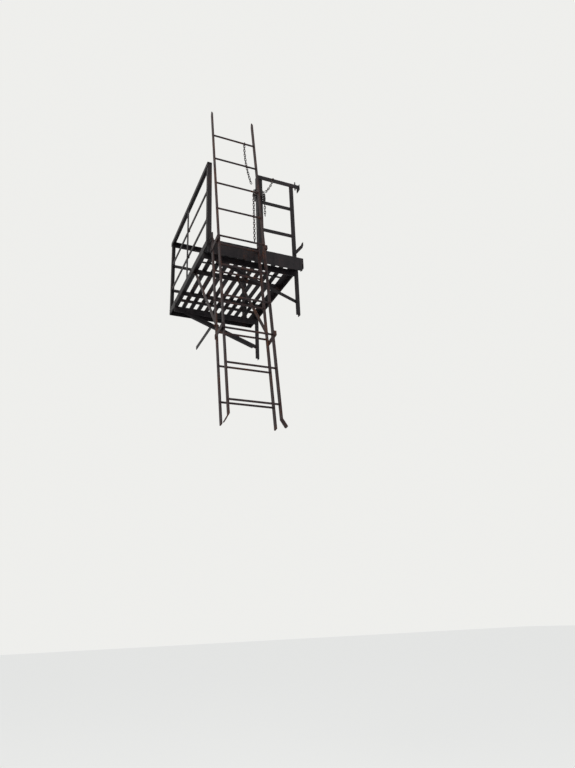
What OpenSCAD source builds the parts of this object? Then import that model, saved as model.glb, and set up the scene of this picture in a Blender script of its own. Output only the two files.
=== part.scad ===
// Iron fire escape: a slatted balcony on two wall brackets, with a guard rail,
// a fixed ladder below its near end and a drop ladder that slides down in front of it.
// The origin is on the back of the near bracket's wall leg. The wall is the plane y = 0,
// the balcony stands out towards -Y, and the ladders hang at its +X end.

/* [Balcony] */
// Length of the balcony along the wall
platform_length = 1340; // [1000:10:1900]
// Reach of the balcony from the wall
platform_reach = 905; // [760:5:1100]
// Distance of the near end from the near bracket
near_overhang = 138; // [100:2:300]
// Distance of the far end from the far bracket
far_overhang = 190; // [120:5:230]
// Leg of the frame angle
frame_leg = 64; // [50:1:76]
// Thickness of the frame angle
frame_t = 8; // [6:1:12]

/* [Floor] */
// Width of a floor slat
slat_w = 42; // [32:1:50]
// Thickness of a floor slat
slat_t = 8; // [5:1:10]
// Widest gap left between two slats
slat_gap = 42; // [30:1:45]
// Leg of the cross bars under the slats
cross_leg = 50; // [32:1:60]
// Thickness of the cross bars
cross_t = 6; // [4:1:8]
// Distance of the slat tie from the near end
slat_tie_place = 355; // [300:5:380]
// Width of the slat tie
slat_tie_w = 18; // [12:1:30]
// Distance of the near cross bar from the near end
near_cross_place = 500; // [400:10:560]
// Distance of the middle cross bar from the far end
middle_cross_place = 410; // [340:10:430]
// Distance of the far cross bar from the far end
far_cross_place = 260; // [120:10:280]

/* [Wall brackets] */
// Length of a wall leg
leg_length = 520; // [420:10:700]
// Leg of the wall legs' angle
bracket_leg = 40; // [38:1:50]
// Leg of the bracket arms' angle
arm_leg = 62; // [50:1:62]
// Thickness of the bracket angles
bracket_t = 6; // [5:1:8]
// Reach of a strut along its arm
strut_reach = 800; // [600:10:840]
// Depth of a strut's foot below the floor
strut_drop = 410; // [340:5:440]
// Width of a strut
strut_w = 40; // [30:1:50]
// Width of the lip along a strut
strut_lip = 32; // [20:1:40]
// Radius of a wall bolt hole
bolt_hole_r = 7; // [5:0.5:9]
// Spacing of the two wall bolts in a leg
bolt_spacing = 340; // [200:10:350]

/* [Guard rail] */
// Height of the top rail above the frame
rail_height = 815; // [700:5:1100]
// Height of the upper middle rail
upper_rail_height = 525; // [400:5:620]
// Height of the lower middle rail
lower_rail_height = 225; // [120:5:340]
// Leg of the two posts beside the ladder
main_post_leg = 50; // [40:1:54]
// Leg of the other posts
post_leg = 40; // [30:1:50]
// Thickness of the posts
post_t = 6; // [4:1:8]
// Leg of the top rail angle
top_rail_leg = 38; // [30:1:50]
// Thickness of the top rail angle
top_rail_t = 5; // [4:1:8]
// Height of a middle rail bar
mid_rail_h = 32; // [20:1:40]
// Thickness of a middle rail bar
mid_rail_t = 8; // [5:1:10]
// Distance of the wall posts from the wall
wall_post_gap = 66; // [40:2:120]
// Side of the plates that hold the rails to the wall
wall_plate = 60; // [40:2:80]

/* [Wall ties] */
// Distance of the side tie from the wall
side_tie_place = 519; // [450:1:560]
// Length of the side tie beyond the balcony
side_tie_length = 345; // [200:5:500]
// Height of the post tie's plate above the frame
post_tie_rise = 145; // [120:5:200]

/* [Ladders] */
// Lean of both ladders from upright, in degrees
ladder_lean = 8; // [4:0.5:10]
// Rung spacing
rung_pitch = 305; // [280:1:330]
// Diameter of a rung
rung_d = 16; // [12:1:20]
// Width of a ladder rail bar
rail_bar_w = 38; // [30:1:50]
// Thickness of a ladder rail bar
rail_bar_t = 10; // [8:1:12]
// Centre of both ladders, from the balcony's outer face
ladder_inset = 240; // [220:1:300]
// Spacing of the drop ladder's rails
drop_w = 400; // [360:2:420]
// Extra spacing of the fixed ladder's rails
fixed_extra_w = 20; // [18:1:30]
// Distance between the two ladders
ladder_gap = 140; // [110:2:180]
// Distance of the fixed ladder from the balcony's end, at floor level
fixed_stand = 40; // [30:1:60]
// Number of rungs in the drop ladder
drop_rungs_n = 10; // [6:1:12]
// Number of rungs in the fixed ladder
fixed_rungs_n = 6; // [4:1:7]
// Height of the drop ladder's top rung above the frame
drop_top_rung = 1120; // [900:5:1300]
// Height of the fixed ladder's top rung above the frame
fixed_top_rung = -65; // [-90:5:-60]
// Length of rail above the drop ladder's top rung
drop_horn = 325; // [200:5:400]
// Length of rail below a ladder's bottom rung
ladder_tail = 180; // [120:5:220]

/* [Chain] */
// Wire of a chain link
link_wire = 6; // [4:0.5:8]
// Inner length of a chain link
link_inner = 26; // [24:1:34]
// Outer width of a chain link
link_width = 22; // [20:1:26]
// Number of links in the hanging chain
hanging_links_n = 20; // [8:1:20]
// Number of links in each turn round the post
wrap_links_n = 14; // [14:2:16]
// Number of turns round the post
wrap_turns = 3; // [1:1:4]
// Number of links in the chain on the drop ladder's top rung
hook_links_n = 17; // [8:1:17]

/* [Hidden] */
$fn = 48;

// Levels and faces of the balcony
floor_z = leg_length/2;
x_near = near_overhang;
x_far = x_near - platform_length;
y_out = -platform_reach;
y_wall_beam = -bracket_t;
y_flange_out = y_out + frame_leg;
y_flange_wall = y_wall_beam - frame_leg;
frame_low = floor_z - frame_leg;
rail_top = floor_z + rail_height;
far_leg_x = x_far + far_overhang;

// Slats: as many as the width between the two long beams takes
slat_room = y_flange_wall - y_flange_out;
slat_n = floor((slat_room - slat_gap)/(slat_w + slat_gap)) + 1;
slat_space = (slat_room - slat_n*slat_w)/(slat_n + 1);
slat_clear = 4;
slat_end = post_t + slat_clear;
post_clear = 2;

// How far a cutting block stands past what it cuts
cut_over = 1;

// Cross bars
cross_near_x = x_near - near_cross_place;
cross_middle_x = x_far + middle_cross_place;
cross_far_x = x_far + far_cross_place;
middle_cross_leg = 42;
far_cross_w = 45;

// Ladders: distances from the frame's top along the leaning rails
lean_c = cos(ladder_lean);
lean_s = sin(ladder_lean);
ladder_y = y_out + ladder_inset;
fixed_x = x_near + fixed_stand;
drop_x = fixed_x + ladder_gap;
fixed_w = drop_w + fixed_extra_w;
drop_first = drop_top_rung/lean_c;
fixed_first = fixed_top_rung/lean_c;
drop_top_end = drop_first + drop_horn;
drop_low_end = drop_first - (drop_rungs_n - 1)*rung_pitch - ladder_tail;
fixed_top_end = 30;
fixed_low_end = fixed_first - (fixed_rungs_n - 1)*rung_pitch - ladder_tail;
point_len = 40;
point_w = 8;
foot_len = 60;
foot_out = 34;

// Guides that hold the drop ladder to the fixed one
guide_h = 40;
guide_t = 6;
guide_gap = 0.8;
upper_guide_s = -150;
lower_guide_s = -1020;

// Braces from the near cross bar down to the fixed ladder
brace_w = 32;
brace_t = 6;
brace_s = -930;
cleat_margin = 4;

post_wall_y = -wall_post_gap;
post_side_gap = 24;
ladder_post_y = ladder_y + fixed_w/2 + post_side_gap;

// Arms and struts, under the frame
arm_low = frame_low - arm_leg;
strut_seat = 18;
lip_foot_gap = 40;
lip_top_gap = 80;
strut_x = bracket_leg/2 - 2*bracket_t;
strut_foot = floor_z - strut_drop + strut_w/2;
strut_lean = atan2(arm_low + strut_seat - strut_foot, strut_reach - bracket_leg/2);

// Wall plates and ties
plate_t = 6;
anchor_low = 104;
anchor_w = 60;
side_tie_w = 40;
side_tie_t = 8;
post_tie_w = 28;
post_tie_start = 30;
post_tie_plate = 38;
post_tie_side = 12;

// Chain: links lie a little apart, and closer along a bend
seat_gap = 0.3;
link_step = link_inner - seat_gap;
bend_slack = 2;
bend_step = link_inner - bend_slack;
hook_slack = 0.5;
hook_step = link_inner - hook_slack;
wrap_x = x_near - main_post_leg/2;
wrap_y = ladder_post_y + main_post_leg/2;
wrap_r = bend_step/(2*tan(180/wrap_links_n));
wrap_tilt = 25;
wrap_step = (link_width + seat_gap)/cos(wrap_tilt);
bow = (link_width - link_wire)/2;
wrap_z = floor_z + upper_rail_height + mid_rail_h/2 + seat_gap
    + wrap_r*sin(wrap_tilt) + bow*cos(wrap_tilt) + link_wire/2;
hook_place = 104;
hook_bend_r = 1420;
hook_eye_d = 26;

iron = [0.13, 0.10, 0.10];
worn_iron = [0.20, 0.12, 0.10];
chain_iron = [0.16, 0.15, 0.15];

// A box given by its low and high corners
module span(a, b) {
    translate(a) cube(b - a);
}

// An angle bar along X: upright leg outside at y0, flat leg on top reaching `leg` in direction dir
module angle_x(x0, x1, y0, ztop, leg, t, dir) {
    ya = dir > 0 ? y0 : y0 - t;
    yb = dir > 0 ? y0 : y0 - leg;
    translate([x0, ya, ztop - leg]) cube([x1 - x0, t, leg]);
    translate([x0, yb, ztop - t]) cube([x1 - x0, leg, t]);
}

// An angle bar along Y: upright leg at x0, flat leg on top reaching `leg` in direction dir
module angle_y(y0, y1, x0, ztop, leg, t, dir) {
    xa = dir > 0 ? x0 : x0 - t;
    xb = dir > 0 ? x0 : x0 - leg;
    translate([xa, y0, ztop - leg]) cube([t, y1 - y0, leg]);
    translate([xb, y0, ztop - t]) cube([leg, y1 - y0, t]);
}

// A bar in an upright YZ plane from one point to another, of width w, between x0 and x0 + t
module bar_yz(x0, t, p, q, w) {
    run = norm(q - p);
    translate([x0, p[0], p[1]])
        rotate([atan2(q[1] - p[1], q[0] - p[0]), 0, 0])
            translate([0, 0, -w/2]) cube([t, run, w]);
}

// A bar in an upright XZ plane from one point to another, of width w, between y0 and y0 + t
module bar_xz(y0, t, p, q, w) {
    run = norm(q - p);
    translate([p[0], y0, p[1]])
        rotate([0, -atan2(q[1] - p[1], q[0] - p[0]), 0])
            translate([0, 0, -w/2]) cube([run, t, w]);
}

// Places children on a ladder: x outwards, y across, z along the rails from floor level
module on_ladder(x) {
    translate([x, ladder_y, floor_z]) rotate([0, -ladder_lean, 0]) children();
}

// Wall leg: an angle bar with one leg flat on the wall, drilled for two bolts
module wall_leg(x) {
    color(iron) translate([x, 0, 0]) difference() {
        union() {
            span([-bracket_leg/2, -bracket_t, -leg_length/2], [bracket_leg/2, 0, floor_z]);
            span([bracket_leg/2 - bracket_t, -bracket_leg, -leg_length/2],
                 [bracket_leg/2, 0, arm_low]);
        }
        for (s = [-1, 1])
            translate([-bracket_t/2, -bracket_t - cut_over, s*bolt_spacing/2])
                rotate([-90, 0, 0]) cylinder(r = bolt_hole_r, h = bracket_t + 2*cut_over);
    }
}

module near_wall_leg() { wall_leg(0); }
module far_wall_leg() { wall_leg(far_leg_x); }

// Space taken by the flat legs of the two long beams
module long_flanges() {
    low = floor_z - frame_t;
    high = floor_z + cut_over;
    span([x_far - cut_over, y_out - cut_over, low], [x_near + cut_over, y_flange_out, high]);
    span([x_far - cut_over, y_flange_wall, low], [x_near + cut_over, cut_over, high]);
}

// A member across the balcony that carries the slats, notched under the long beams
module cross_member(x, leg, t, dir) {
    difference() {
        angle_y(y_out + frame_t, y_wall_beam - frame_t, x, floor_z, leg, t, dir);
        long_flanges();
    }
}

// Bracket arm under the frame, its upright leg over the leg's outstanding one
module bracket_arm(x) {
    color(iron) angle_y(y_out, -bracket_t, x + bracket_leg/2, frame_low, arm_leg, bracket_t, -1);
}

module near_bracket_arm() { bracket_arm(0); }
module far_bracket_arm() { bracket_arm(far_leg_x); }

// Strut from the leg up to the arm, beside both, with a lip along its lower edge
module strut(x) {
    run = (strut_reach - bracket_leg/2)/cos(strut_lean);
    color(iron) translate([x + strut_x, -bracket_leg/2, strut_foot]) rotate([180 - strut_lean, 0, 0]) {
        translate([0, 0, -strut_w/2]) cube([bracket_t, run, strut_w]);
        translate([bracket_t - strut_lip, lip_foot_gap, strut_w/2 - bracket_t])
            cube([strut_lip, run - lip_foot_gap - lip_top_gap, bracket_t]);
    }
}

module near_bracket_strut() { strut(0); }
module far_bracket_strut() { strut(far_leg_x); }

module outer_beam() {
    color(iron) angle_x(x_far, x_near, y_out, floor_z, frame_leg, frame_t, 1);
}

// Beam along the wall, with an anchor plate behind its near end
module wall_beam() {
    color(iron) {
        angle_x(x_far, x_near, y_wall_beam, floor_z, frame_leg, frame_t, -1);
        span([x_near - anchor_w, -plate_t, floor_z - anchor_low], [x_near, 0, floor_z]);
    }
}

// End beam: an angle bar between the two long beams
module end_beam(x, dir) {
    color(iron) difference() {
        angle_y(y_out + frame_t, y_wall_beam - frame_t, x, floor_z, frame_leg, frame_t, dir);
        long_flanges();
    }
}

module near_end_beam() { end_beam(x_near, -1); }
module far_end_beam() { end_beam(x_far, 1); }

// A flat bar between the flat legs of the long beams
module flat_bar(x, w) {
    span([x - w, y_flange_out, floor_z - frame_t], [x, y_flange_wall, floor_z]);
}

// Near cross bar, and the narrow slat tie between it and the end
module near_cross_bar() {
    color(iron) {
        cross_member(cross_near_x, cross_leg, cross_t, -1);
        flat_bar(x_near - slat_tie_place, slat_tie_w);
    }
}

module middle_cross_bar() { color(iron) cross_member(cross_middle_x, middle_cross_leg, cross_t, -1); }
module far_cross_bar() { color(iron) flat_bar(cross_far_x, far_cross_w); }

module floor_slats() {
    color(iron) for (i = [0:slat_n - 1]) {
        y = y_flange_out + slat_space + i*(slat_w + slat_space);
        span([x_far + slat_end, y, floor_z], [x_near - slat_end, y + slat_w, floor_z + slat_t]);
    }
}

// Corner post: an angle bar whose corner points outwards; the leg over the slats stops above them
module post(x, y, leg, dx, dy) {
    low = floor_z + slat_t + post_clear;
    color(iron) {
        span([min(x, x + dx*post_t), min(y, y + dy*leg), floor_z],
             [max(x, x + dx*post_t), max(y, y + dy*leg), rail_top - top_rail_t]);
        span([min(x, x + dx*leg), min(y, y + dy*post_t), low],
             [max(x, x + dx*leg), max(y, y + dy*post_t), rail_top - top_rail_t]);
    }
}

module near_outer_post() { post(x_near, y_out, main_post_leg, -1, 1); }
module far_outer_post() { post(x_far, y_out, post_leg, 1, 1); }
module ladder_side_post() { post(x_near, ladder_post_y, main_post_leg, -1, 1); }
module near_wall_post() { post(x_near, post_wall_y, post_leg, -1, -1); }
module far_wall_post() { post(x_far, post_wall_y, post_leg, 1, -1); }

module middle_outer_post() {
    x = (x_near + x_far)/2;
    color(iron) span([x - post_leg/2, y_out, floor_z],
                     [x + post_leg/2, y_out + post_t, rail_top - top_rail_t]);
}

// Top rails: angle bars that cap the posts, with the upright leg outside
module front_top_rail() {
    color(iron) angle_x(x_far - top_rail_t, x_near + top_rail_t, y_out - top_rail_t,
                        rail_top, top_rail_leg + top_rail_t, top_rail_t, 1);
}

module end_top_rail(x, y0, dir) {
    leg = top_rail_leg + top_rail_t;
    color(iron) {
        angle_y(y0, 0, x, rail_top, leg, top_rail_t, dir);
        span([x + dir*leg/2 - wall_plate/2, -top_rail_t, rail_top - wall_plate/2 - leg/2],
             [x + dir*leg/2 + wall_plate/2, 0, rail_top + wall_plate/2 - leg/2]);
    }
}

module near_top_rail() { end_top_rail(x_near + top_rail_t, ladder_post_y, -1); }
module far_top_rail() { end_top_rail(x_far - top_rail_t, y_out + top_rail_leg, 1); }

// Middle rails: flat bars inside the posts
module front_mid_rail(h) {
    color(iron) span([x_far + post_t, y_out + post_t, floor_z + h - mid_rail_h/2],
                     [x_near - post_t, y_out + post_t + mid_rail_t, floor_z + h + mid_rail_h/2]);
}

module end_mid_rail(x, y0, dir, h) {
    color(iron) span([min(x, x + dir*mid_rail_t), y0, floor_z + h - mid_rail_h/2],
                     [max(x, x + dir*mid_rail_t), post_wall_y - post_t, floor_z + h + mid_rail_h/2]);
}

module front_upper_rail() { front_mid_rail(upper_rail_height); }
module front_lower_rail() { front_mid_rail(lower_rail_height); }
module far_upper_rail() {
    end_mid_rail(x_far + post_t, y_out + post_t + mid_rail_t, 1, upper_rail_height);
}
module far_lower_rail() {
    end_mid_rail(x_far + post_t, y_out + post_t + mid_rail_t, 1, lower_rail_height);
}
module near_upper_rail() {
    end_mid_rail(x_near - post_t, ladder_post_y + post_t, -1, upper_rail_height);
}
module near_lower_rail() {
    end_mid_rail(x_near - post_t, ladder_post_y + post_t, -1, lower_rail_height);
}

// Ladder rail: a flat bar on edge between two distances along the ladder
module ladder_rail(y, low, high) {
    span([-rail_bar_w/2, y - rail_bar_t/2, low], [rail_bar_w/2, y + rail_bar_t/2, high]);
}

module fixed_left_rail() {
    color(worn_iron) on_ladder(fixed_x) ladder_rail(-fixed_w/2, fixed_low_end, fixed_top_end);
}

module fixed_right_rail() {
    color(worn_iron) on_ladder(fixed_x) ladder_rail(fixed_w/2, fixed_low_end, fixed_top_end);
}

// Rungs: round rods between the inner faces of the rails
module rungs(w, first, n) {
    for (i = [0:n - 1])
        translate([0, -w/2 + rail_bar_t/2, first - i*rung_pitch])
            rotate([-90, 0, 0]) cylinder(d = rung_d, h = w - rail_bar_t);
}

module fixed_rungs() {
    color(worn_iron) on_ladder(fixed_x) rungs(fixed_w, fixed_first, fixed_rungs_n);
}

// Cleats: plates beside the fixed rails that reach back to the end beam
module ladder_cleats() {
    color(iron) for (s = [-1, 1]) {
        y = ladder_y + s*(fixed_w/2 + rail_bar_t/2 + brace_t/2);
        span([x_near, y - brace_t/2, frame_low + cleat_margin],
             [fixed_x + rail_bar_w/2, y + brace_t/2, floor_z - cleat_margin]);
    }
}

// Brace from the near cross bar's upright leg to the wall side of the fixed ladder's rail
module ladder_brace(s) {
    y = ladder_y + s*fixed_w/2 + rail_bar_t/2;
    p = [cross_near_x - brace_w, floor_z + brace_t];
    q = [fixed_x - brace_s*lean_s, floor_z + brace_s*lean_c];
    color(worn_iron) intersection() {
        bar_xz(y, brace_t, p, q, brace_w);
        span([cross_near_x, y, floor_z - 2*leg_length], [drop_x + leg_length, y + brace_t, floor_z]);
    }
}

module left_ladder_brace() { ladder_brace(-1); }
module right_ladder_brace() { ladder_brace(1); }

// Guides: a plate outside both ladders' rails, with a lip before and behind the drop rail
module guide_pair(s0) {
    outer = fixed_w/2 + rail_bar_t/2;
    inner = drop_w/2 - rail_bar_t/2;
    back = -rail_bar_w/2;
    apart = ladder_gap*lean_c;
    front = apart + rail_bar_w/2 + guide_gap + guide_t;
    lip = apart - rail_bar_w/2 - guide_gap - guide_t;
    color(iron) on_ladder(fixed_x) for (s = [-1, 1]) {
        span([back, min(s*outer, s*(outer + guide_t)), s0 - guide_h/2],
             [front, max(s*outer, s*(outer + guide_t)), s0 + guide_h/2]);
        for (x = [lip, front - guide_t])
            span([x, min(s*outer, s*inner), s0 - guide_h/2],
                 [x + guide_t, max(s*outer, s*inner), s0 + guide_h/2]);
    }
}

module upper_guides() { guide_pair(upper_guide_s); }
module lower_guides() { guide_pair(lower_guide_s); }

// Tie from the far strut sideways to the return wall, notched over the strut's lip
module side_wall_tie() {
    z = strut_foot + (side_tie_place - bracket_leg/2)*tan(strut_lean) - strut_w/2;
    color(iron) difference() {
        span([x_far - side_tie_length, -side_tie_place - side_tie_t/2, z - side_tie_w/2],
             [far_leg_x + strut_x, -side_tie_place + side_tie_t/2, z + side_tie_w/2]);
        strut(far_leg_x);
    }
}

// Short strap from the foot of the near wall post up to a plate on the wall
module post_wall_tie() {
    half = post_tie_plate/2;
    z = floor_z + post_tie_rise;
    p = [post_wall_y - post_leg/2, floor_z + post_tie_start];
    color(iron) {
        intersection() {
            bar_yz(x_near, post_t, p, [post_tie_start, z + post_tie_start], post_tie_w);
            span([x_near - cut_over, -platform_reach, floor_z],
                 [x_near + post_t + cut_over, 0, z + post_tie_plate]);
        }
        span([x_near - post_tie_side, -plate_t, z - half], [x_near + post_t + post_tie_side, 0, z + half]);
    }
}

// Chain link along Z, flat in the XZ plane, about its centre
module chain_link() {
    side = link_inner/2 + link_wire/2 - bow;
    for (s = [-1, 1]) {
        translate([s*bow, 0, -side]) cylinder(d = link_wire, h = 2*side, $fn = 24);
        translate([0, 0, s*side]) rotate([90, s > 0 ? 0 : 180, 0])
            rotate_extrude(angle = 180, $fn = 32)
                translate([bow, 0]) circle(d = link_wire, $fn = 24);
    }
}

// Chain wound round the post: each turn is a leaning ring of links, flat and upright by turns
module post_chain() {
    color(chain_iron) for (k = [0:wrap_turns - 1], i = [0:wrap_links_n - 1])
        translate([wrap_x, wrap_y, wrap_z + k*wrap_step]) rotate([-wrap_tilt, 0, 0])
            rotate([0, 0, -90 + i*360/wrap_links_n]) translate([wrap_r, 0, 0])
                rotate([90, 0, 0]) rotate([0, 0, i % 2 == 0 ? 0 : 90]) chain_link();
}

// Loose end that hangs from the lowest turn
module hanging_chain() {
    bar = wrap_r + bow;
    top = wrap_z + bar*sin(wrap_tilt) + link_wire/2 + seat_gap - link_inner/2;
    color(chain_iron) for (i = [0:hanging_links_n - 1])
        translate([wrap_x, wrap_y - bar*cos(wrap_tilt), top - i*link_step])
            rotate([0, 0, i % 2 == 0 ? 90 : 0]) chain_link();
}

// Chain on the drop ladder's top rung: an eye round the rung, and links drawn aside in an arc
module hook_chain() {
    eye_z = rung_d/2 + seat_gap - hook_eye_d/2;
    first = eye_z - hook_eye_d/2 + seat_gap - link_inner/2;
    turn = 2*asin(hook_step/(2*hook_bend_r));
    color(chain_iron)
        translate([drop_x - drop_first*lean_s, ladder_y + hook_place, floor_z + drop_top_rung]) {
            translate([0, 0, eye_z]) rotate([90, 0, 0]) rotate_extrude()
                translate([hook_eye_d/2 + link_wire/2, 0]) circle(d = link_wire, $fn = 24);
            for (i = [0:hook_links_n - 1])
                translate([0, hook_bend_r*(1 - cos(i*turn)), first - hook_bend_r*sin(i*turn)])
                    rotate([i*turn, 0, 0]) rotate([0, 0, i % 2 == 0 ? 90 : 0]) chain_link();
        }
}

// Drop ladder rail with a pointed top and a splayed foot
module drop_rail(s) {
    y = s*drop_w/2;
    color(worn_iron) on_ladder(drop_x) {
        ladder_rail(y, drop_low_end + foot_len, drop_top_end - point_len);
        translate([0, y + rail_bar_t/2, 0]) rotate([90, 0, 0]) linear_extrude(rail_bar_t)
            polygon([[-rail_bar_w/2, drop_top_end - point_len],
                     [rail_bar_w/2, drop_top_end - point_len],
                     [point_w/2, drop_top_end], [-point_w/2, drop_top_end]]);
        translate([-rail_bar_w/2, 0, 0]) rotate([90, 0, 90]) linear_extrude(rail_bar_w)
            polygon([[y - s*rail_bar_t/2, drop_low_end + foot_len],
                     [y + s*rail_bar_t/2, drop_low_end + foot_len],
                     [y + s*(foot_out + rail_bar_t/2), drop_low_end],
                     [y + s*(foot_out - rail_bar_t/2), drop_low_end]]);
    }
}

module drop_left_rail() { drop_rail(-1); }
module drop_right_rail() { drop_rail(1); }
module drop_rungs() { color(worn_iron) on_ladder(drop_x) rungs(drop_w, drop_first, drop_rungs_n); }

near_wall_leg();
far_wall_leg();
near_bracket_arm();
far_bracket_arm();
near_bracket_strut();
far_bracket_strut();
outer_beam();
wall_beam();
near_end_beam();
far_end_beam();
near_cross_bar();
middle_cross_bar();
far_cross_bar();
floor_slats();
near_outer_post();
middle_outer_post();
far_outer_post();
ladder_side_post();
near_wall_post();
far_wall_post();
front_top_rail();
front_upper_rail();
front_lower_rail();
far_top_rail();
far_upper_rail();
far_lower_rail();
near_top_rail();
near_upper_rail();
near_lower_rail();
fixed_left_rail();
fixed_right_rail();
fixed_rungs();
ladder_cleats();
left_ladder_brace();
right_ladder_brace();
upper_guides();
lower_guides();
side_wall_tie();
post_wall_tie();
post_chain();
hanging_chain();
drop_left_rail();
drop_right_rail();
drop_rungs();
hook_chain();
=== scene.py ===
import math
import random
import bpy
from mathutils import Matrix, Quaternion, Vector


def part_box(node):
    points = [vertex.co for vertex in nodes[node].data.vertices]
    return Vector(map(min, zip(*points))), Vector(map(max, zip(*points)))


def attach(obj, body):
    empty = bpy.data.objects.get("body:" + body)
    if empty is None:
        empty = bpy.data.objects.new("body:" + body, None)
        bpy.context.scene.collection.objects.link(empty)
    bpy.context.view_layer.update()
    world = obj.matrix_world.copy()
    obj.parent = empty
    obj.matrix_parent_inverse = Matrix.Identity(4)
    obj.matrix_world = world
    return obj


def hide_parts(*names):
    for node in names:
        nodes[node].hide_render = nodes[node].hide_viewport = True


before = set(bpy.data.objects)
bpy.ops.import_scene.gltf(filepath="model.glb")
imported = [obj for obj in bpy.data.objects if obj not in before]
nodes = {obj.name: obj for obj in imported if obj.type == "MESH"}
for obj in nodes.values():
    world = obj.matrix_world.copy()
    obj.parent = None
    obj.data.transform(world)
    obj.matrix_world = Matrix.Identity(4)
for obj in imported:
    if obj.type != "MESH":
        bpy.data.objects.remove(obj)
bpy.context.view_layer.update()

print("stage 1: frame loaded,", len(nodes), "nodes")


# Shader maths: a wire is a socket that takes Python's own operators

class Wire:
    def __init__(self, board, socket):
        self.board = board
        self.socket = socket

    def maths(self, operation, first, second):
        return self.board.node("ShaderNodeMath", {"operation": operation}, {0: first, 1: second})

    def __add__(self, other):
        return self.maths("ADD", self, other)

    def __radd__(self, other):
        return self.maths("ADD", other, self)

    def __sub__(self, other):
        return self.maths("SUBTRACT", self, other)

    def __rsub__(self, other):
        return self.maths("SUBTRACT", other, self)

    def __mul__(self, other):
        return self.maths("MULTIPLY", self, other)

    def __rmul__(self, other):
        return self.maths("MULTIPLY", other, self)


# A board is a node tree that nodes are added to, and a paint is a material's board

class Board:
    def __init__(self, tree):
        self.tree = tree

    def node(self, kind, settings, sockets, output=0):
        made = self.tree.nodes.new(kind)
        for key, value in settings.items():
            setattr(made, key, value)
        for key, value in sockets.items():
            if isinstance(value, Wire):
                self.tree.links.new(value.socket, made.inputs[key])
            else:
                made.inputs[key].default_value = value
        return Wire(self, made.outputs[output])


class Paint(Board):
    def __init__(self, name):
        self.material = bpy.data.materials.new(name)
        self.material.use_nodes = True
        super().__init__(self.material.node_tree)
        self.surface = next(n for n in self.tree.nodes if n.type == "BSDF_PRINCIPLED")
        self.place = self.node("ShaderNodeTexCoord", {}, {}, "Object")

    def stretched(self, scale):
        return self.node("ShaderNodeMapping", {}, {"Vector": self.place, "Scale": scale})

    def noise(self, grain, place=None):
        scale, detail, rough = grain
        sockets = {"Vector": place or self.place, "Scale": scale, "Detail": detail, "Roughness": rough}
        return self.node("ShaderNodeTexNoise", {}, sockets)

    def step(self, wire, ends):
        sockets = {"Value": wire, "From Min": ends[0], "From Max": ends[1]}
        return self.node("ShaderNodeMapRange", {"interpolation_type": "SMOOTHSTEP"}, sockets)

    def clamp(self, wire):
        return self.node("ShaderNodeClamp", {}, {"Value": wire})

    # A mix node keeps its colours in sockets 6 and 7, and gives the colour from its output 2
    def blend(self, mask, first, second):
        sockets = {0: mask, 6: self.colour(first), 7: self.colour(second)}
        return self.node("ShaderNodeMix", {"data_type": "RGBA"}, sockets, 2)

    def colour(self, value):
        return value if isinstance(value, Wire) else (*value, 1)

    def feed(self, name, wire):
        self.tree.links.new(wire.socket, self.surface.inputs[name])

    def fix(self, name, value):
        self.surface.inputs[name].default_value = value


# Old black paint on iron, with rust at the edges and in flakes

oldPaint = {
    "dark": (0.0046, 0.0036, 0.0044), "light": (0.0120, 0.0090, 0.0104), "chalk": (0.030, 0.025, 0.026),
    "rustDark": (0.022, 0.0095, 0.0070), "rustMid": (0.050, 0.020, 0.0115),
    "rustBright": (0.110, 0.044, 0.020), "grime": (0.0090, 0.0075, 0.0065),
    "rustAmount": 0.16, "grain": 1.0, "shine": 0.20, "roughness": 0.46,
    "edgeWidth": 0.004, "roundEdge": 0.0015, "relief": 0.0016, "bumpStrength": 0.8, "bevelSamples": 4,
    # Noises: scale, detail and roughness
    "streak": (1.0, 5.0, 0.6), "streakStretch": (26.0, 26.0, 2.2),
    "cloud": (5.0, 6.0, 0.62), "speck": (95.0, 4.0, 0.6), "fine": (420.0, 3.0, 0.6),
    # Masks: where each starts and where it is full, and how strong it is then
    "edgeStep": (0.01, 0.16), "edgeRustStep": (0.3, 0.6), "edgeRust": 0.11,
    "upStep": (0.2, 0.95), "chalkStep": (0.35, 0.75), "chalkShare": 0.65,
    "coatStep": (0.38, 0.62), "grimeStep": (0.60, 0.78), "grimeShare": 0.5,
    "rustLimit": 0.66, "rustGain": 0.30, "flakeWidth": 0.025, "haloStart": 0.07, "haloEnd": 0.02,
    "haloShare": 0.45, "rustStep": (0.35, 0.62), "brightStep": (0.52, 0.68),
}
floorPaint = dict(oldPaint, rustAmount=0.30)
ladderPaint = dict(oldPaint, rustAmount=0.40,
                   dark=(0.0105, 0.0052, 0.0060), light=(0.0230, 0.0110, 0.0120))
chainPaint = dict(oldPaint, rustAmount=0.26, grain=0.5,
                  dark=(0.016, 0.014, 0.0145), light=(0.042, 0.036, 0.036))


def roundedNormal(paint, look, width):
    return paint.node("ShaderNodeBevel", {"samples": look["bevelSamples"]}, {"Radius": width}, "Normal")


def faceNormal(paint):
    return paint.node("ShaderNodeNewGeometry", {}, {}, "Normal")


def edgeMask(paint, look):
    rounded = roundedNormal(paint, look, look["edgeWidth"])
    sockets = {0: rounded, 1: faceNormal(paint)}
    same = paint.node("ShaderNodeVectorMath", {"operation": "DOT_PRODUCT"}, sockets, "Value")
    return paint.step(1 - same, look["edgeStep"])


def upMask(paint, look):
    upright = paint.node("ShaderNodeSeparateXYZ", {}, {"Vector": faceNormal(paint)}, "Z")
    return paint.step(upright, look["upStep"])


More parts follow.
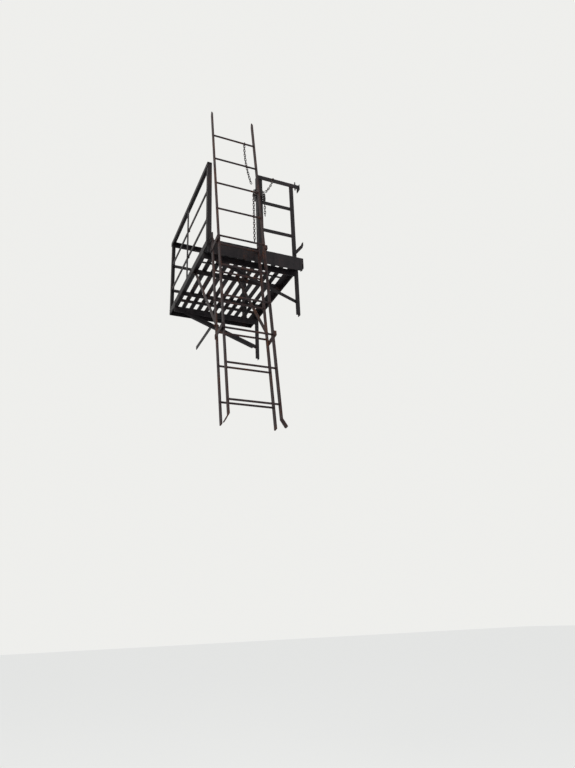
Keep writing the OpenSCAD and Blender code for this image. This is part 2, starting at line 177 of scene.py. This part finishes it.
def ironFinish(name, look):
    paint = Paint(name)
    streak = paint.noise(look["streak"], paint.stretched(look["streakStretch"]))
    cloud = paint.noise(look["cloud"])
    speck = paint.noise(look["speck"])
    fine = paint.noise(look["fine"])
    edge = edgeMask(paint, look)

    # The coat: dark and lighter paint, chalky where it faces up, grimy in streaks
    weather = cloud * 0.55 + streak * 0.45
    coat = paint.blend(paint.step(weather, look["coatStep"]), look["dark"], look["light"])
    chalk = upMask(paint, look) * paint.step(cloud, look["chalkStep"]) * look["chalkShare"]
    coat = paint.blend(chalk, coat, look["chalk"])
    coat = paint.blend(paint.step(streak, look["grimeStep"]) * look["grimeShare"], coat, look["grime"])

    # Rust breaks through past a limit, with a stained halo round each flake
    limit = look["rustLimit"] - look["rustAmount"] * look["rustGain"]
    edgeRust = edge * look["edgeRust"] * paint.step(cloud, look["edgeRustStep"])
    rough = weather * 0.62 + speck * 0.38 + edgeRust
    flake = paint.step(rough, (limit, limit + look["flakeWidth"]))
    halo = paint.step(rough, (limit - look["haloStart"], limit + look["haloEnd"]))
    rust = paint.blend(paint.step(speck, look["rustStep"]), look["rustDark"], look["rustMid"])
    bright = paint.step(fine * 0.5 + streak * 0.5, look["brightStep"])
    rust = paint.blend(bright, rust, look["rustBright"])
    coat = paint.blend(halo * look["haloShare"], coat, look["rustDark"])
    paint.feed("Base Color", paint.blend(flake, coat, rust))
    paint.feed("Roughness", paint.clamp(look["roughness"] + cloud * 0.20 + flake * 0.30 + chalk * 0.2))

    # Relief: the paint is uneven, and a flake lies lower than the paint and is coarser
    height = cloud * 0.25 + speck * 0.10 + fine * 0.05 - flake * 0.18 + flake * fine * 0.45
    sockets = {
        "Height": height, "Distance": look["relief"] * look["grain"], "Strength": look["bumpStrength"],
        "Normal": roundedNormal(paint, look, look["roundEdge"]),
    }
    paint.feed("Normal", paint.node("ShaderNodeBump", {}, sockets, "Normal"))
    paint.fix("Specular IOR Level", look["shine"])
    return paint.material


frameIron = ironFinish("frameIron", oldPaint)
floorIron = ironFinish("floorIron", floorPaint)
ladderIron = ironFinish("ladderIron", ladderPaint)
chainIron = ironFinish("chainIron", chainPaint)


def finishOf(name):
    if name.endswith("_chain"):
        return chainIron
    if name == "floor_slats" or name.endswith("_cross_bar"):
        return floorIron
    if name.startswith(("fixed_", "drop_")) or name.endswith(("_brace", "_guides")):
        return ladderIron
    return frameIron


for name, part in nodes.items():
    part.data.materials.clear()
    part.data.materials.append(finishOf(name))
print("stage 2: finishes on the nodes")


# Places are read from the frame: a node's lowest corner, highest corner and middle

def low(name):
    return Vector(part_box(name)[0])


def high(name):
    return Vector(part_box(name)[1])


def middle(name):
    return (low(name) + high(name)) / 2


up, down = (0, 0, 1), (0, 0, -1)
out, inward = (0, -1, 0), (0, 1, 0)
right, left = (1, 0, 0), (-1, 0, 0)
beamFace = low("outer_beam").y
railTop = high("front_top_rail").z
nearX = high("near_end_beam").x


# Tools for shaping by hand

hair = 1e-4  # places nearer than this are taken as one
facing = 0.9  # how nearly a face has to point the way that is asked


def pickFaces(shape, test):
    bpy.ops.object.mode_set(mode="OBJECT")
    for corner in shape.data.vertices:
        corner.select = False
    for edge in shape.data.edges:
        edge.select = False
    for face in shape.data.polygons:
        face.select = test(face)
    bpy.ops.object.mode_set(mode="EDIT")
    bpy.ops.mesh.select_mode(type="FACE")


def settle(shape):
    bpy.ops.object.select_all(action="DESELECT")
    shape.select_set(True)
    bpy.context.view_layer.objects.active = shape
    bpy.ops.object.transform_apply(location=True, rotation=True, scale=True)


def startRound(sideCount, radius, height, low=0.0):
    bpy.ops.object.select_all(action="DESELECT")
    place = (0, 0, low + height / 2)
    bpy.ops.mesh.primitive_cylinder_add(vertices=sideCount, radius=radius, depth=height, location=place)
    shape = bpy.context.object
    settle(shape)
    return shape


def stepTop(shape, steps):
    for inset, rise in steps:
        top = max(face.center.z for face in shape.data.polygons)
        pickFaces(shape, lambda face: face.center.z > top - hair and face.normal.z > facing)
        bpy.ops.mesh.inset(thickness=inset, depth=rise)
        bpy.ops.object.mode_set(mode="OBJECT")


def joinAll(shapes):
    bpy.ops.object.select_all(action="DESELECT")
    for shape in shapes:
        shape.select_set(True)
    bpy.context.view_layer.objects.active = shapes[0]
    if len(shapes) > 1:
        bpy.ops.object.join()
    return bpy.context.object


def copyTo(master, spot, turn):
    copy = master.copy()
    copy.data = master.data.copy()
    bpy.context.scene.collection.objects.link(copy)
    copy.matrix_world = Matrix.Translation(spot) @ turn
    return copy


def joinCopies(copies):
    piece = joinAll(copies)
    bpy.context.view_layer.update()
    settle(piece)
    return piece


def finishPiece(piece, name, body, finish):
    piece.name = name
    piece.data.name = name
    piece.data.materials.clear()
    piece.data.materials.append(finish)
    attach(piece, body)


# Rivets and bolts: each shape is made once and copied to its places

fixing = {
    "rivetRadius": 0.0085, "rivetHeight": 0.0042, "flatRadius": 0.0105, "flatHeight": 0.003,
    "rivetSides": 12, "rivetBase": 0.35, "rivetDome": ((0.16, 0.35), (0.34, 0.24)), "smoothAngle": 0.9,
    "nutWidth": 0.018, "nutHeight": 0.008, "nutSides": 6, "nutBase": 0.88, "nutTop": (0.14, 0.12),
    "washerRadius": 0.0125, "washerHeight": 0.002, "washerSides": 18, "washerTop": (0.0006, 0.0002),
    "stubRadius": 0.005, "stubHeight": 0.0035, "stubSides": 10, "stubSunk": 0.002, "stubTop": (0.0012, 0.0006),
    "bigNut": 1.1, "head": 0.92, "pinNut": 0.8, "turnSeed": 11,
}


def makeRivet(radius, height):
    shape = startRound(fixing["rivetSides"], radius, height * fixing["rivetBase"])
    stepTop(shape, [(radius * inset, height * rise) for inset, rise in fixing["rivetDome"]])
    bpy.ops.object.shade_smooth_by_angle(angle=fixing["smoothAngle"])
    return shape


def makeNut(size, stub=True):
    washerTop = fixing["washerHeight"]
    washer = startRound(fixing["washerSides"], fixing["washerRadius"] * size, washerTop)
    stepTop(washer, [fixing["washerTop"]])
    width = fixing["nutWidth"] * size / math.sqrt(3)
    height = fixing["nutHeight"] * size
    inset, rise = fixing["nutTop"]
    nut = startRound(fixing["nutSides"], width, height * fixing["nutBase"], washerTop)
    stepTop(nut, [(width * inset, height * rise)])
    parts = [washer, nut]
    if stub:
        sunk = fixing["stubSunk"]
        end = startRound(fixing["stubSides"], fixing["stubRadius"] * size,
                         fixing["stubHeight"] + sunk, washerTop + height - sunk)
        stepTop(end, [fixing["stubTop"]])
        parts.append(end)
    return joinAll(parts)


turns = random.Random(fixing["turnSeed"])


def placeCopies(name, places, body, finish):
    made = []
    for master, spot, outward in places:
        turn = Vector(outward).to_track_quat("Z", "Y") @ Quaternion((0, 0, 1), turns.uniform(0, math.tau))
        made.append(copyTo(master, spot, turn.to_matrix().to_4x4()))
    finishPiece(joinCopies(made), name, body, finish)


rivet = makeRivet(fixing["rivetRadius"], fixing["rivetHeight"])
flatRivet = makeRivet(fixing["flatRadius"], fixing["flatHeight"])
nut = makeNut(1.0)
bigNut = makeNut(fixing["bigNut"])
head = makeNut(fixing["head"], stub=False)

# Slats: a rivet through each slat and each bar that carries it
slats = {
    "count": 9, "width": 0.042,
    "bars": (  # bar, where x is measured from, how far on, how thick the bar is
        ("near_end_beam", high, -0.032, 0.008), ("near_cross_bar", high, -0.009, 0.008),
        ("near_cross_bar", low, 0.022, 0.006), ("middle_cross_bar", low, 0.018, 0.006),
        ("far_cross_bar", middle, 0.0, 0.008), ("far_end_beam", low, 0.040, 0.008),
    ),
}
slatLow, slatHigh = low("floor_slats"), high("floor_slats")
slatStep = (slatHigh.y - slatLow.y - slats["width"]) / (slats["count"] - 1)
places = []
for step in range(slats["count"]):
    y = slatLow.y + slats["width"] / 2 + step * slatStep
    for bar, edge, shift, thick in slats["bars"]:
        x = edge(bar).x + shift
        places.append((rivet, (x, y, slatHigh.z), up))
        places.append((rivet, (x, y, slatLow.z - thick), down))
placeCopies("slat_rivets", places, "balcony", floorIron)

# Frame: rivets on the outer beam at each bar that meets it
beamRivets = {
    "heights": (0.214, 0.242),
    "bars": (
        ("near_end_beam", high, -0.014), ("near_cross_bar", low, 0.030), ("middle_cross_bar", low, 0.024),
        ("far_cross_bar", middle, 0.0), ("far_end_beam", low, 0.014),
    ),
}
places = []
for bar, edge, shift in beamRivets["bars"]:
    for z in beamRivets["heights"]:
        places.append((rivet, (edge(bar).x + shift, beamFace, z), out))
placeCopies("frame_rivets", places, "balcony", frameIron)

# Rails: a rivet outside and a bolt head inside at each post, and a rivet down into each post
railBolts = {"outerIn": 0.020, "endIn": 0.022}
outerPosts = ("near_outer_post", "middle_outer_post", "far_outer_post")
places = []
for rail in ("front_upper_rail", "front_lower_rail"):
    z = middle(rail).z
    for post in outerPosts:
        places.append((rivet, (middle(post).x, beamFace, z), out))
        places.append((head, (middle(post).x, high(rail).y, z), inward))
for rail in ("near_upper_rail", "near_lower_rail"):
    z = middle(rail).z
    for post in ("ladder_side_post", "near_wall_post"):
        places.append((rivet, (high(post).x, middle(post).y, z), right))
        places.append((head, (low(rail).x, middle(post).y, z), left))
for rail in ("far_upper_rail", "far_lower_rail"):
    z = middle(rail).z
    for post in ("far_outer_post", "far_wall_post"):
        places.append((rivet, (low(post).x, middle(post).y, z), left))
        places.append((head, (high(rail).x, middle(post).y, z), right))
for post in outerPosts:
    places.append((rivet, (middle(post).x, beamFace + railBolts["outerIn"], railTop), up))
for post in ("ladder_side_post", "near_wall_post"):
    places.append((rivet, (high(post).x - railBolts["endIn"], middle(post).y, railTop), up))
farX = low("far_wall_post").x + railBolts["endIn"]
places.append((rivet, (farX, middle("far_wall_post").y, railTop), up))
placeCopies("rail_bolts", places, "balcony", frameIron)

# Brackets: wall bolts through the legs, and bolts from the struts to the legs and arms
brackets = {
    "wallBolts": (-0.17, 0.17), "boltIn": 0.003, "legThick": 0.006, "twoThick": 0.012,
    "strutFoot": (-0.020, -0.130), "strutRise": 0.3615, "strutBolts": (-0.030, -0.782),
}
places = []
for leg in ("near_wall_leg", "far_wall_leg"):
    for z in brackets["wallBolts"]:
        places.append((bigNut, (middle(leg).x - brackets["boltIn"], -brackets["legThick"], z), out))
for leg in ("near_wall_leg", "far_wall_leg"):
    face = high(leg).x
    footY, footZ = brackets["strutFoot"]
    for y in brackets["strutBolts"]:
        z = footZ + (footY - y) * brackets["strutRise"]
        places.append((head, (face, y, z), right))
        places.append((nut, (face - brackets["twoThick"], y, z), left))
placeCopies("bracket_bolts", places, "balcony", frameIron)

# Wall plates: two screws in each top rail's plate and in the wall beam's
plates = {
    "railIn": 0.0215, "railHalf": 0.018, "railThick": 0.005, "railDown": 0.0435, "railLower": 0.006,
    "beamIn": 0.030, "beamHalf": 0.016, "beamThick": 0.006, "beamZ": 0.174,
}
places = []
plateZ = railTop - plates["railDown"] - plates["railLower"]
for plateX in (high("near_top_rail").x - plates["railIn"], low("far_top_rail").x + plates["railIn"]):
    for x in (plateX - plates["railHalf"], plateX + plates["railHalf"]):
        places.append((rivet, (x, -plates["railThick"], plateZ), out))
plateX = high("wall_beam").x - plates["beamIn"]
for x in (plateX - plates["beamHalf"], plateX + plates["beamHalf"]):
    places.append((rivet, (x, -plates["beamThick"], plates["beamZ"]), out))
placeCopies("wall_screws", places, "balcony", frameIron)

# Ladders: places along the leaning rails, from the floor up
ladders = {
    "lean": math.radians(8), "pitch": 0.305,
    "fixedOut": 0.040, "fixedHalf": 0.215, "fixedTop": -0.065, "fixedRungs": 6,
    "dropOut": 0.180, "dropHalf": 0.205, "dropTop": 1.120, "dropRungs": 10,
    "guides": (-0.150, -1.020), "guidePair": (-0.010, 0.010), "cleat": -0.030,
    "brace": -0.922, "braceHalf": 0.210, "braceShift": 0.005,
    "toOutside": 0.006, "toInside": 0.010,
}
sides = ((1, inward, out), (-1, out, inward))  # which rail, its outer face, its inner face
lean = ladders["lean"]
floorZ = slatLow.z
ladderY = middle("fixed_rungs").y


def onLadder(x, across, along):
    return (x - along * math.sin(lean), ladderY + across, floorZ + along * math.cos(lean))


fixedX, fixedHalf = nearX + ladders["fixedOut"], ladders["fixedHalf"]
fixedFirst = ladders["fixedTop"] / math.cos(lean)
outside, inside = fixedHalf + ladders["toOutside"], fixedHalf - ladders["toInside"]
places = []
for rung in range(1, ladders["fixedRungs"]):
    along = fixedFirst - rung * ladders["pitch"]
    for side, face, _ in sides:
        places.append((flatRivet, onLadder(fixedX, side * fixedHalf, along), face))
for along in ladders["guides"]:
    for shift in ladders["guidePair"]:
        for side, face, back in sides:
            places.append((rivet, onLadder(fixedX, side * outside, along + shift), face))
            places.append((rivet, onLadder(fixedX, side * inside, along + shift), back))
for side, face, back in sides:
    places.append((head, onLadder(fixedX, side * outside, ladders["cleat"]), face))
    places.append((head, onLadder(fixedX, side * inside, ladders["cleat"]), back))
    brace = side * ladders["braceHalf"] + ladders["braceShift"]
    places.append((head, onLadder(fixedX, brace + ladders["toOutside"], ladders["brace"]), inward))
    places.append((nut, onLadder(fixedX, brace - ladders["toInside"], ladders["brace"]), out))
placeCopies("fixed_ladder_rivets", places, "balcony", ladderIron)

dropX = nearX + ladders["dropOut"]
dropFirst = ladders["dropTop"] / math.cos(lean)
places = []
for rung in range(ladders["dropRungs"]):
    along = dropFirst - rung * ladders["pitch"]
    for side, face, _ in sides:
        places.append((flatRivet, onLadder(dropX, side * ladders["dropHalf"], along), face))
placeCopies("drop_ladder_rivets", places, "drop_ladder", ladderIron)

# A bolt that stands through the near top rail by the wall
stud = {
    "sides": 12, "radius": 0.006, "length": 0.090, "below": 0.050, "tip": (0.0015, 0.0008),
    "fromEnd": 0.012, "fromWall": 0.038, "railThick": 0.005,
}
studX, studY = nearX - stud["fromEnd"], -stud["fromWall"]
shaft = startRound(stud["sides"], stud["radius"], stud["length"], railTop - stud["below"])
stepTop(shaft, [stud["tip"]])
shaft.location = (studX, studY, 0)
settle(shaft)
finishPiece(shaft, "rail_stud", "balcony", frameIron)
places = [(head, (studX, studY, railTop), up), (head, (studX, studY, railTop - stud["railThick"]), down)]
placeCopies("rail_stud_nuts", places, "balcony", frameIron)

for master in (rivet, flatRivet, nut, bigNut, head):
    bpy.data.objects.remove(master)
print("stage 3: rivets and bolts")


# Bars: a block is drawn at its size and its edges are eased

def startBlock(size, middlePoint):
    bpy.ops.object.select_all(action="DESELECT")
    bpy.ops.mesh.primitive_cube_add(size=1.0, location=middlePoint)
    block = bpy.context.object
    block.scale = size
    settle(block)
    return block


def bevelEdges(block, width, segments, test):
    pickFaces(block, lambda face: False)
    bpy.ops.mesh.select_mode(type="EDGE")
    bpy.ops.object.mode_set(mode="OBJECT")
    corners = block.data.vertices
    for edge in block.data.edges:
        first, second = (corners[index].co for index in edge.vertices)
        edge.select = test(first, second)
    bpy.ops.object.mode_set(mode="EDIT")
    bpy.ops.mesh.bevel(offset=width, segments=segments, affect="EDGES")
    bpy.ops.object.mode_set(mode="OBJECT")


# The near end beam reaches lower than its angle: a skirt under its upright leg
skirt = {"lowZ": 0.128, "thick": 0.008, "round": 0.0025, "roundSteps": 2}
beamLow, beamHigh = low("near_end_beam"), high("near_end_beam")
tall = beamLow.z - skirt["lowZ"]
skirtPiece = startBlock((skirt["thick"], beamHigh.y - beamLow.y, tall),
                        (beamHigh.x - skirt["thick"] / 2, (beamHigh.y + beamLow.y) / 2, beamLow.z - tall / 2))
bevelEdges(skirtPiece, skirt["round"], skirt["roundSteps"],
           lambda first, second: max(first.z, second.z) < skirt["lowZ"] + hair)
finishPiece(skirtPiece, "end_skirt", "balcony", frameIron)

# Near strut: a plain flat bar with its end corners cut, from the leg up to the arm
nearStrut = {
    "thick": 0.006, "width": 0.032, "reach": 0.780, "rise": 0.282, "foot": (0.011, -0.020, -0.130),
    "corner": 0.007, "cornerSteps": 2, "ease": 0.0012,
}
strutLean = math.atan2(nearStrut["rise"], nearStrut["reach"])
strutRun = nearStrut["reach"] / math.cos(strutLean)
strut = startBlock((nearStrut["thick"], strutRun, nearStrut["width"]), (0, -strutRun / 2, 0))
bevelEdges(strut, nearStrut["corner"], nearStrut["cornerSteps"],
           lambda first, second: abs(first.x - second.x) > hair)
bevelEdges(strut, nearStrut["ease"], 1, lambda first, second: True)
strut.location = nearStrut["foot"]
strut.rotation_euler = (-strutLean, 0, 0)
settle(strut)
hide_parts("near_bracket_strut")
finishPiece(strut, "near_strut_bar", "balcony", frameIron)

# Near outer post: a corner block is pulled out both ways. The second pull takes the first leg's side with it,
# so this is a solid square bar as wide as a leg, and not an open angle like the node that it stands for
cornerPost = {"leg": 0.039, "thick": 0.006, "ease": 0.0012}
postLow, postHigh = low("near_outer_post"), high("near_outer_post")
thick, reach = cornerPost["thick"], cornerPost["leg"] - cornerPost["thick"]
post = startBlock((thick, thick, postHigh.z - postLow.z),
                  (postHigh.x - thick / 2, postLow.y + thick / 2, (postHigh.z + postLow.z) / 2))
for pull in (Vector((0, reach, 0)), Vector((-reach, 0, 0))):
    pickFaces(post, lambda face: face.normal.dot(pull.normalized()) > facing
              and face.center.x > postHigh.x - thick - hair)
    bpy.ops.mesh.extrude_region_move(TRANSFORM_OT_translate={"value": pull})
    bpy.ops.object.mode_set(mode="OBJECT")
bevelEdges(post, cornerPost["ease"], 1, lambda first, second: abs(first.z - second.z) > hair)
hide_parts("near_outer_post")
finishPiece(post, "near_corner_post", "balcony", frameIron)
print("stage 4: skirt, strut and post")


# Chain: one link is drawn and copied, each turned a quarter from the last

chain = {
    "wire": 0.003, "bow": 0.008, "straight": 0.008, "pitch": 0.0256, "bowParts": 12, "wireParts": 6,
    "boltY": -0.281, "boltDown": 0.024, "firstLink": (0.0065, 0, -0.002), "lastLink": (0.014, 0.014, 0.036),
    "railLinks": 8, "sag": (0, 0.009, -0.004),
    "looseLinks": 8, "looseTop": (0.018, 0.022, 0.006), "looseSide": (0.6, 0.8, 0),
    "nutOut": 0.0115, "pinRadius": 0.004, "pinLength": 0.024, "pinSides": 10, "pinIn": 0.006,
    "pinTip": (0.001, 0.0006),
}


def makeLink():
    bpy.ops.object.select_all(action="DESELECT")
    bpy.ops.mesh.primitive_torus_add(major_segments=chain["bowParts"], minor_segments=chain["wireParts"],
                                     major_radius=chain["bow"], minor_radius=chain["wire"],
                                     rotation=(math.pi / 2, math.pi / chain["bowParts"], 0))
    link = bpy.context.object
    settle(link)
    for sign in (1, -1):  # the ring is pulled long, one half at a time
        pickFaces(link, lambda face: False)
        bpy.ops.mesh.select_mode(type="VERT")
        bpy.ops.object.mode_set(mode="OBJECT")
        for corner in link.data.vertices:
            corner.select = corner.co.z * sign > 0
        bpy.ops.object.mode_set(mode="EDIT")
        bpy.ops.transform.translate(value=(0, 0, sign * chain["straight"]))
        bpy.ops.object.mode_set(mode="OBJECT")
    bpy.ops.object.shade_smooth()
    return link


def layLinks(name, steps):
    made = []
    for index, (spot, along, side) in enumerate(steps):
        run = Vector(along).normalized()
        across = (Vector(side) - run * Vector(side).dot(run)).normalized()
        if index % 2:
            across = across.cross(run)
        turn = Matrix((across, run.cross(across), run)).transposed().to_4x4()
        made.append(copyTo(link, spot, turn))
    finishPiece(joinCopies(made), name, "balcony", chainIron)


link = makeLink()

# From a bolt in the near top rail down to the turns round the post, drawn nearly tight
ring = high("post_chain")
bolt = Vector((high("near_top_rail").x, chain["boltY"], railTop - chain["boltDown"]))
first = bolt + Vector(chain["firstLink"])
last = ring - Vector(chain["lastLink"])
sag = Vector(chain["sag"]) * 4  # share * (1 - share) is a quarter in the middle
steps = []
for index in range(chain["railLinks"]):
    share = (index + 0.5) / chain["railLinks"]
    spot = first.lerp(last, share) + sag * share * (1 - share)
    along = last - first + sag * (1 - 2 * share)
    steps.append((spot, along, right if index else inward))
layLinks("rail_chain", steps)

# A loose end beside the post
inX, inY, upZ = chain["looseTop"]
hang = Vector((ring.x - inX, ring.y - inY, low("post_chain").z + upZ))
steps = [(hang + Vector(down) * chain["pitch"] * index, down, chain["looseSide"])
         for index in range(chain["looseLinks"])]
layLinks("loose_chain", steps)
bpy.data.objects.remove(link)

# The bolt's nut, and its pin through the rail
pinNut = makeNut(fixing["pinNut"])
nutPlace = bolt + Vector(right) * chain["nutOut"]
placeCopies("rail_chain_bolt", [(pinNut, nutPlace, right)], "balcony", frameIron)
bpy.data.objects.remove(pinNut)
pin = startRound(chain["pinSides"], chain["pinRadius"], chain["pinLength"])
stepTop(pin, [chain["pinTip"]])
pin.rotation_euler = (0, math.pi / 2, 0)
pin.location = bolt - Vector(right) * chain["pinIn"]
settle(pin)
finishPiece(pin, "rail_chain_pin", "balcony", frameIron)
print("stage 5: chain at the rail")


# Camera, floor and light

view = {
    "place": (4.338, -2.141, -2.82), "right": (0.402431, 0.914551, -0.040560),
    "up": (0.351764, -0.113578, 0.929173), "lens": 28.39, "clip": (0.05, 400.0),
}
ground = {"z": -4.4, "size": 120.0, "colour": (0.80, 0.80, 0.78, 1), "roughness": 0.9, "glow": 0.7}
sky = {"pale": (0.86, 0.86, 0.84, 1), "light": (0.90, 0.94, 1.0, 1), "strength": 0.75}
lamps = {
    "key": {"place": (3.5, -5.0, 4.5), "aim": (0, -0.5, 0.3), "power": 420, "size": 3.0,
            "colour": (1.0, 0.97, 0.92)},
    "fill": {"place": (5.5, 1.5, -1.5), "aim": (0, -0.5, 0.2), "power": 130, "size": 3.5,
             "colour": (0.95, 0.97, 1.0)},
}


def makeCamera():
    data = bpy.data.cameras.new("camera")
    data.lens = view["lens"]
    data.clip_start, data.clip_end = view["clip"]
    camera = bpy.data.objects.new("camera", data)
    bpy.context.scene.collection.objects.link(camera)
    across = Vector(view["right"]).normalized()
    back = across.cross(Vector(view["up"])).normalized()
    turn = Matrix((across, back.cross(across), back)).transposed().to_4x4()
    camera.matrix_world = Matrix.Translation(view["place"]) @ turn
    bpy.context.scene.camera = camera


def makeFloor():
    bpy.ops.object.select_all(action="DESELECT")
    bpy.ops.mesh.primitive_plane_add(size=ground["size"], location=(0, 0, ground["z"]))
    floor = bpy.context.object
    floor.name = "floor"
    paint = Paint("paleFloor")
    paint.fix("Base Color", ground["colour"])
    paint.fix("Roughness", ground["roughness"])
    seen = paint.node("ShaderNodeLightPath", {}, {}, "Is Camera Ray")
    surface = Wire(paint, paint.surface.outputs[0])
    pale = paint.node("ShaderNodeEmission", {}, {"Color": sky["pale"]})
    mixed = paint.node("ShaderNodeMixShader", {}, {0: seen * ground["glow"], 1: surface, 2: pale})
    paint.tree.links.new(mixed.socket, paint.tree.nodes["Material Output"].inputs["Surface"])
    floor.data.materials.append(paint.material)


# The sky lights the stair, and is pale where the camera or a reflection sees it
def makeSky():
    world = bpy.data.worlds.new("sky")
    bpy.context.scene.world = world
    world.use_nodes = True
    world.node_tree.nodes.clear()
    board = Board(world.node_tree)
    camera = board.node("ShaderNodeLightPath", {}, {}, "Is Camera Ray")
    glossy = board.node("ShaderNodeLightPath", {}, {}, "Is Glossy Ray")
    seen = camera.maths("MAXIMUM", camera, glossy)
    light = board.node("ShaderNodeBackground", {}, {"Color": sky["light"], "Strength": sky["strength"]})
    pale = board.node("ShaderNodeBackground", {}, {"Color": sky["pale"], "Strength": 1.0})
    mixed = board.node("ShaderNodeMixShader", {}, {0: seen, 1: light, 2: pale})
    made = board.tree.nodes.new("ShaderNodeOutputWorld")
    board.tree.links.new(mixed.socket, made.inputs["Surface"])


def makeLamp(name, lamp):
    data = bpy.data.lights.new(name, "AREA")
    data.energy = lamp["power"]
    data.size = lamp["size"]
    data.color = lamp["colour"]
    made = bpy.data.objects.new(name, data)
    bpy.context.scene.collection.objects.link(made)
    made.location = lamp["place"]
    made.rotation_mode = "QUATERNION"
    made.rotation_quaternion = (Vector(lamp["aim"]) - Vector(lamp["place"])).to_track_quat("-Z", "Y")


makeCamera()
makeFloor()
makeSky()
for name, lamp in lamps.items():
    makeLamp(name, lamp)
bpy.context.scene.view_settings.view_transform = "Standard"
print("stage 6: camera, floor and light")
